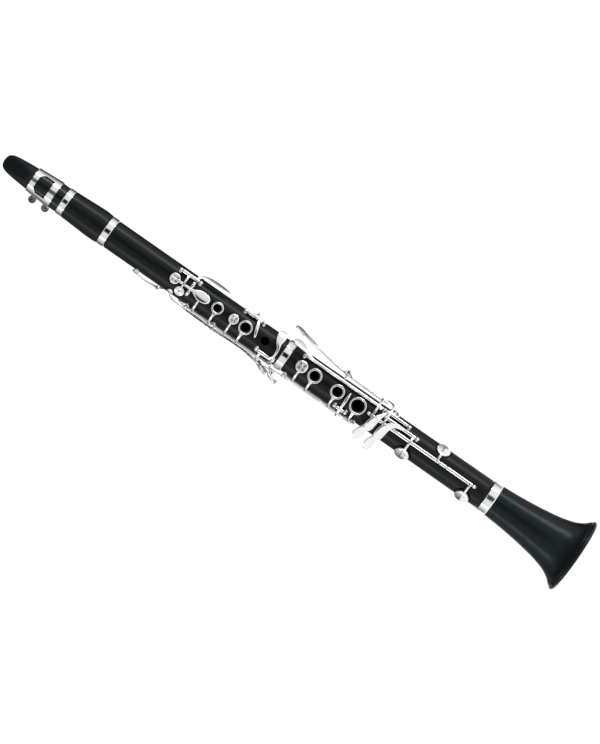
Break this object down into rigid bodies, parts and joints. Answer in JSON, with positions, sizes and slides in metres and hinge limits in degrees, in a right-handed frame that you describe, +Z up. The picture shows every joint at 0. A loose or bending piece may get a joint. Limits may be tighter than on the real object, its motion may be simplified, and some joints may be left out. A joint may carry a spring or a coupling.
{
  "type": "clarinet",
  "caption": "Soprano clarinet with a black wooden body in joints, a single-reed mouthpiece, a flared bell and silver-plated keywork, standing upright on its bell.",
  "frame": {"origin": "middle of the bell's mouth, where the clarinet stands", "axes": "+Z up the bore from the bell to the mouthpiece, -Y the front with the finger holes, +X the player's left side"},
  "size_m": [0.0778, 0.0778, 0.6688],
  "materials": {
    "grenadilla": "oiled dark hardwood, satin",
    "ebonite": "polished hard rubber",
    "silver_plate": "polished silver plate",
    "ring_silver": "polished silver plate",
    "post_silver": "polished silver plate",
    "cork": "natural cork",
    "cane": "dry cane",
    "pad_skin": "thin pad skin over felt",
    "steel": "springs, hinge rods and screws"
  },
  "bodies": {
    "bell": {"bell": "grenadilla", "bell_ring": "ring_silver"},
    "lower_joint": {"lower_joint": "grenadilla", "middle_ring": "ring_silver", "cork_bell_tenon": "cork", "thumb_rest": "silver_plate", "posts_ring_stack": "post_silver", "posts_sliver_b": "post_silver", "posts_little_left": "post_silver", "posts_fs_cs": "post_silver", "post_line_top": "post_silver", "post_line_end": "post_silver", "posts_line_middle": "post_silver", "posts_lh_levers": "post_silver"},
    "upper_joint": {"upper_joint": "grenadilla", "cork_middle_tenon": "cork", "cork_barrel_tenon": "cork", "register_vent": "silver_plate", "thumb_tube": "silver_plate", "posts_throat_a": "post_silver", "posts_throat_gs": "post_silver", "posts_ring_keys": "post_silver", "posts_sliver_eb": "post_silver", "posts_cs_gs": "post_silver", "posts_register": "post_silver", "posts_thumb_ring": "post_silver", "posts_side_high": "post_silver", "posts_side_low": "post_silver"},
    "barrel": {"barrel": "grenadilla", "barrel_ring_lower": "ring_silver", "barrel_ring_upper": "ring_silver"},
    "mouthpiece": {"mouthpiece": "ebonite", "cork_mouthpiece": "cork", "reed": "cane", "ligature": "silver_plate"},
    "ligature_screw_1": {"ligature_screw_1": "silver_plate"},
    "ligature_screw_2": {"ligature_screw_2": "silver_plate"},
    "throat_a_key": {"throat_a_key": "silver_plate"},
    "throat_gs_key": {"throat_gs_key": "silver_plate"},
    "first_ring_key": {"first_ring_key": "silver_plate"},
    "second_ring_key": {"second_ring_key": "silver_plate"},
    "sliver_eb_key": {"sliver_eb_key": "silver_plate"},
    "cs_gs_key": {"cs_gs_key": "silver_plate"},
    "register_key": {"register_key": "silver_plate"},
    "thumb_ring_key": {"thumb_ring_key": "silver_plate"},
    "side_key_1": {"side_key_1": "silver_plate"},
    "side_key_2": {"side_key_2": "silver_plate"},
    "side_key_3": {"side_key_3": "silver_plate"},
    "side_key_4": {"side_key_4": "silver_plate"},
    "ring_stack_key": {"ring_stack_key": "silver_plate"},
    "sliver_b_key": {"sliver_b_key": "silver_plate"},
    "ab_eb_key": {"ab_eb_key": "silver_plate"},
    "fs_cs_key": {"fs_cs_key": "silver_plate"},
    "f_c_key": {"f_c_key": "silver_plate"},
    "e_b_key": {"e_b_key": "silver_plate"},
    "lh_fs_cs_lever": {"lh_fs_cs_lever": "silver_plate"},
    "lh_e_b_lever": {"lh_e_b_lever": "silver_plate"},
    "lh_f_c_lever": {"lh_f_c_lever": "silver_plate"}
  },
  "joints": [
    {"name": "bell_tenon", "type": "slide", "parent": "bell", "child": "lower_joint", "axis": [0, 0, 1], "range_m": [0, 0.017]},
    {"name": "middle_tenon", "type": "slide", "parent": "lower_joint", "child": "upper_joint", "axis": [0, 0, 1], "range_m": [0, 0.016]},
    {"name": "barrel_tenon", "type": "slide", "parent": "upper_joint", "child": "barrel", "axis": [0, 0, 1], "range_m": [0, 0.016]},
    {"name": "mouthpiece_tenon", "type": "slide", "parent": "barrel", "child": "mouthpiece", "axis": [0, 0, 1], "range_m": [0, 0.016]},
    {"name": "ligature_screw_1_turn", "type": "hinge", "parent": "mouthpiece", "child": "ligature_screw_1", "pos_m": [-0.005, 0.0179, 0.626], "axis": [1, 0, 0], "continuous": true},
    {"name": "ligature_screw_2_turn", "type": "hinge", "parent": "mouthpiece", "child": "ligature_screw_2", "pos_m": [-0.005, 0.0179, 0.611], "axis": [1, 0, 0], "continuous": true},
    {"name": "throat_a", "type": "hinge", "parent": "upper_joint", "child": "throat_a_key", "pos_m": [0, -0.0184, 0.4493], "axis": [1, 0, 0], "range_deg": [0, 5.5], "stiffness_Nm_per_rad": 0.03, "springref_deg": -17.19},
    {"name": "throat_gs", "type": "hinge", "parent": "upper_joint", "child": "throat_gs_key", "pos_m": [0.01049, -0.01413, 0.456], "axis": [0, 0, 1], "range_deg": [0, 7], "stiffness_Nm_per_rad": 0.03, "springref_deg": -17.19},
    {"name": "first_ring", "type": "hinge", "parent": "upper_joint", "child": "first_ring_key", "pos_m": [-0.01654, -0.00602, 0.428], "axis": [0, 0, 1], "range_deg": [0, 3.1], "stiffness_Nm_per_rad": 0.03, "springref_deg": -17.19},
    {"name": "second_ring", "type": "hinge", "parent": "upper_joint", "child": "second_ring_key", "pos_m": [-0.01654, -0.00602, 0.38], "axis": [0, 0, 1], "range_deg": [0, 3.1], "stiffness_Nm_per_rad": 0.03, "springref_deg": -17.19},
    {"name": "sliver_eb", "type": "hinge", "parent": "upper_joint", "child": "sliver_eb_key", "pos_m": [0.01387, -0.01084, 0.383], "axis": [0, 0, -1], "range_deg": [0, 6], "stiffness_Nm_per_rad": 0.03, "springref_deg": -17.19},
    {"name": "cs_gs", "type": "hinge", "parent": "upper_joint", "child": "cs_gs_key", "pos_m": [-0.01131, -0.01348, 0.355], "axis": [0, 0, 1], "range_deg": [0, 6], "stiffness_Nm_per_rad": 0.03, "springref_deg": -17.19},
    {"name": "register", "type": "hinge", "parent": "upper_joint", "child": "register_key", "pos_m": [-0.0156, 0.00975, 0.477], "axis": [-0.5299, -0.848, 0], "range_deg": [0, 4], "stiffness_Nm_per_rad": 0.03, "springref_deg": -17.19},
    {"name": "thumb_ring", "type": "hinge", "parent": "upper_joint", "child": "thumb_ring_key", "pos_m": [-0.00984, 0.01459, 0.425], "axis": [0, 0, -1], "range_deg": [0, 5], "stiffness_Nm_per_rad": 0.03, "springref_deg": -17.19},
    {"name": "side_1", "type": "hinge", "parent": "upper_joint", "child": "side_key_1", "pos_m": [-0.01852, 0.00377, 0.4113], "axis": [-0.1994, -0.9799, 0], "range_deg": [0, 1.3], "stiffness_Nm_per_rad": 0.03, "springref_deg": -17.19},
    {"name": "side_2", "type": "hinge", "parent": "upper_joint", "child": "side_key_2", "pos_m": [-0.01852, 0.00377, 0.4113], "axis": [-0.1994, -0.9799, 0], "range_deg": [0, 2.5], "stiffness_Nm_per_rad": 0.03, "springref_deg": -17.19},
    {"name": "side_3", "type": "hinge", "parent": "upper_joint", "child": "side_key_3", "pos_m": [-0.01371, 0.01301, 0.388], "axis": [-0.6884, -0.7254, 0], "range_deg": [0, 1.6], "stiffness_Nm_per_rad": 0.03, "springref_deg": -17.19},
    {"name": "side_4", "type": "hinge", "parent": "upper_joint", "child": "side_key_4", "pos_m": [-0.01371, 0.01301, 0.388], "axis": [-0.6884, -0.7254, 0], "range_deg": [0, 2.5], "stiffness_Nm_per_rad": 0.03, "springref_deg": -17.19},
    {"name": "ring_stack", "type": "hinge", "parent": "lower_joint", "child": "ring_stack_key", "pos_m": [-0.01664, -0.00573, 0.29], "axis": [0, 0, 1], "range_deg": [0, 3.1], "stiffness_Nm_per_rad": 0.03, "springref_deg": -17.19},
    {"name": "sliver_b", "type": "hinge", "parent": "lower_joint", "child": "sliver_b_key", "pos_m": [-0.01266, -0.01223, 0.2664], "axis": [0, 0, 1], "range_deg": [0, 5], "stiffness_Nm_per_rad": 0.03, "springref_deg": -17.19},
    {"name": "ab_eb", "type": "hinge", "parent": "lower_joint", "child": "ab_eb_key", "pos_m": [0.01138, -0.01356, 0.216], "axis": [0, 0, -1], "range_deg": [0, 4.3], "stiffness_Nm_per_rad": 0.03, "springref_deg": -17.19},
    {"name": "fs_cs", "type": "hinge", "parent": "lower_joint", "child": "fs_cs_key", "pos_m": [0.00609, -0.01673, 0.21], "axis": [0, 0, -1], "range_deg": [0, 4.2], "stiffness_Nm_per_rad": 0.03, "springref_deg": -17.19},
    {"name": "f_c", "type": "hinge", "parent": "lower_joint", "child": "f_c_key", "pos_m": [0, -0.0179, 0.19], "axis": [0, 0, -1], "range_deg": [0, 5], "stiffness_Nm_per_rad": 0.03, "springref_deg": -17.19},
    {"name": "e_b", "type": "hinge", "parent": "lower_joint", "child": "e_b_key", "pos_m": [0, -0.0179, 0.18], "axis": [0, 0, -1], "range_deg": [0, 5.1], "stiffness_Nm_per_rad": 0.03, "springref_deg": -17.19},
    {"name": "lh_fs_cs", "type": "hinge", "parent": "lower_joint", "child": "lh_fs_cs_lever", "pos_m": [0.01138, -0.01356, 0.28], "axis": [0, 0, 1], "range_deg": [0, 2.52]},
    {"name": "lh_e_b", "type": "hinge", "parent": "lower_joint", "child": "lh_e_b_lever", "pos_m": [0.022, 0.00019, 0.279], "axis": [0.0087, -1, 0], "range_deg": [0, 2.04]},
    {"name": "lh_f_c", "type": "hinge", "parent": "lower_joint", "child": "lh_f_c_lever", "pos_m": [0.022, 0.00019, 0.279], "axis": [0.0087, -1, 0], "range_deg": [0, 2.25]}
  ],
  "couplings": [
    {"joint": "lh_fs_cs", "follows": "fs_cs", "ratio": 0.6},
    {"joint": "lh_e_b", "follows": "e_b", "ratio": 0.4},
    {"joint": "lh_f_c", "follows": "f_c", "ratio": 0.45}
  ]
}
